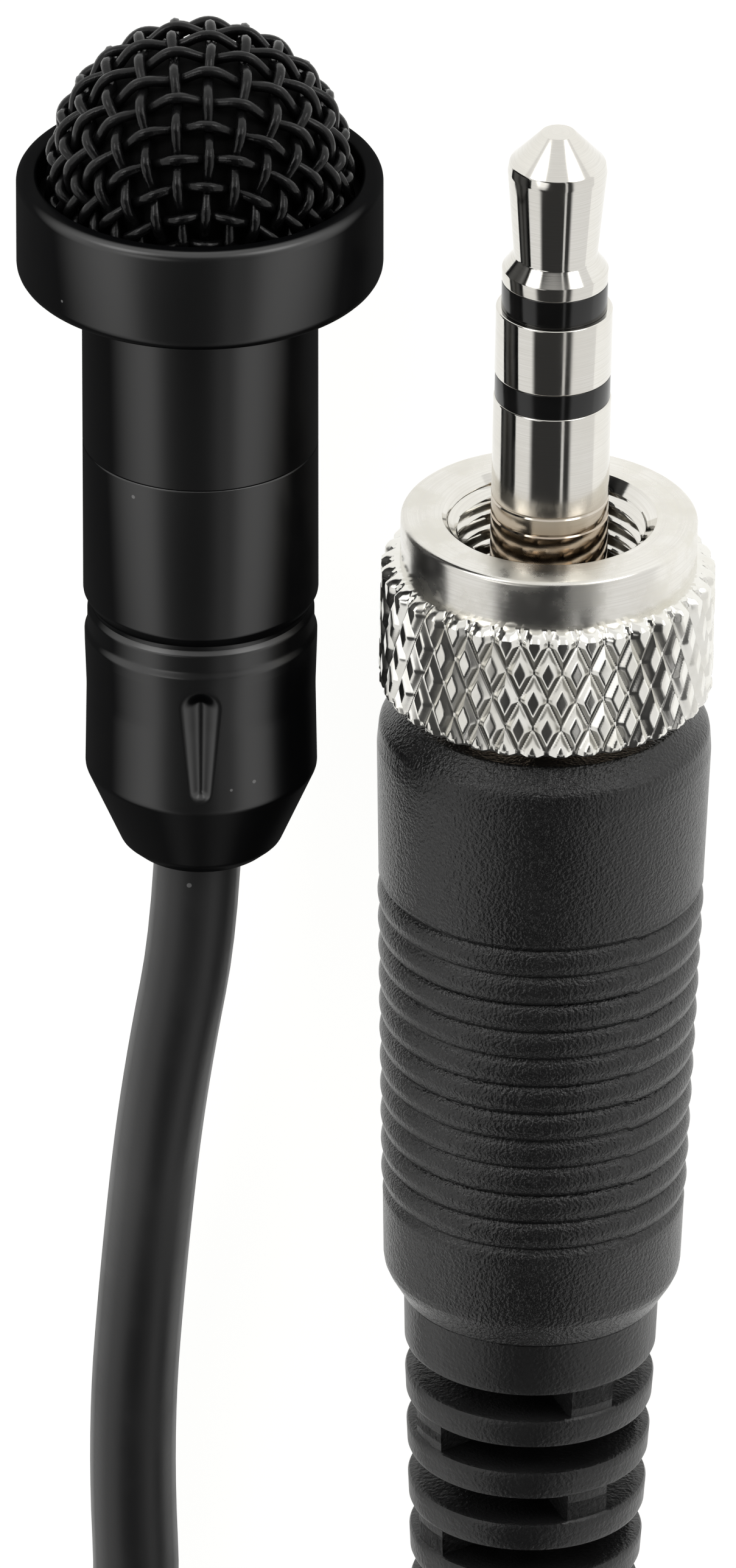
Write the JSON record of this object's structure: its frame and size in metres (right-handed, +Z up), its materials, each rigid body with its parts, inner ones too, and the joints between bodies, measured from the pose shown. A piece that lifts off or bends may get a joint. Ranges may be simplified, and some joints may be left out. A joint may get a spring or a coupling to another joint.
{
  "type": "lavalier microphone",
  "caption": "Lavalier microphone with a mesh-domed head, a thin cable folded in a tied hank, and a 3.5 mm plug with a knurled locking nut.",
  "frame": {"origin": "on the table under the middle of the microphone head's length", "axes": "+Z up; the head's axis is along Y, with its mesh end at -Y and its cable end at +Y; the plug lies beside it at -X"},
  "size_m": [0.0242, 0.1357, 0.0122],
  "materials": {
    "black_metal": "satin black paint",
    "mesh_wire": "satin black woven wire",
    "liner_cloth": "black cloth",
    "brass": "turned brass",
    "gasket_rubber": "soft black rubber",
    "capsule_aluminium": "drawn aluminium",
    "diaphragm_film": "metallised film",
    "inner_plastic": "moulded plastic",
    "board_laminate": "green circuit board",
    "solder": "solder",
    "signal_insulation": "red wire insulation",
    "shield_insulation": "white wire insulation",
    "nickel": "bright nickel plate",
    "contact_insulator": "glossy black plastic",
    "grip_plastic": "black moulded plastic, fine grain",
    "boot_rubber": "black rubber, fine grain",
    "cable_jacket": "matt black jacket",
    "tie_fabric": "black hook-and-loop strap"
  },
  "bodies": {
    "microphone": {"upper_housing": "black_metal", "middle_housing": "black_metal", "tail_sleeve": "black_metal", "mic_cable_crimp": "brass", "capsule_gasket": "gasket_rubber", "capsule_can": "capsule_aluminium", "diaphragm_ring": "brass", "capsule_diaphragm": "diaphragm_film", "diaphragm_spacer": "diaphragm_film", "back_plate": "brass", "back_plate_holder": "inner_plastic", "capsule_board": "board_laminate", "capsule_transistor": "inner_plastic", "capsule_solder": "solder", "mic_signal_wire": "signal_insulation", "mic_shield_wire": "shield_insulation", "tip_contact": "nickel", "tip_insulator": "contact_insulator", "ring_contact": "nickel", "ring_insulator": "contact_insulator", "sleeve_contact": "nickel", "nut_retaining_ring": "nickel", "rear_insulator": "contact_insulator", "plug_solder": "solder", "plug_signal_wire": "signal_insulation", "plug_shield_wire": "shield_insulation", "plug_cable_crimp": "brass", "grip_shell": "grip_plastic", "strain_relief_boot": "boot_rubber", "cable_in_boot": "cable_jacket", "mic_side_cable": "cable_jacket", "plug_side_cable": "cable_jacket", "cable_hank": "cable_jacket", "hank_tie": "tie_fabric"},
    "cap": {"mesh_dome": "mesh_wire", "acoustic_liner": "liner_cloth", "cap_collar": "black_metal", "mesh_clamp_ring": "brass"},
    "nut": {"locking_nut": "nickel"}
  },
  "joints": [
    {"name": "cap_slide", "type": "slide", "parent": "microphone", "child": "cap", "axis": [0, -1, 0], "range_m": [0, 0.006]},
    {"name": "nut_spin", "type": "hinge", "parent": "microphone", "child": "nut", "pos_m": [-0.01036, 0.00252, 0.005], "axis": [0.0183, 0.9998, 0], "continuous": true}
  ]
}
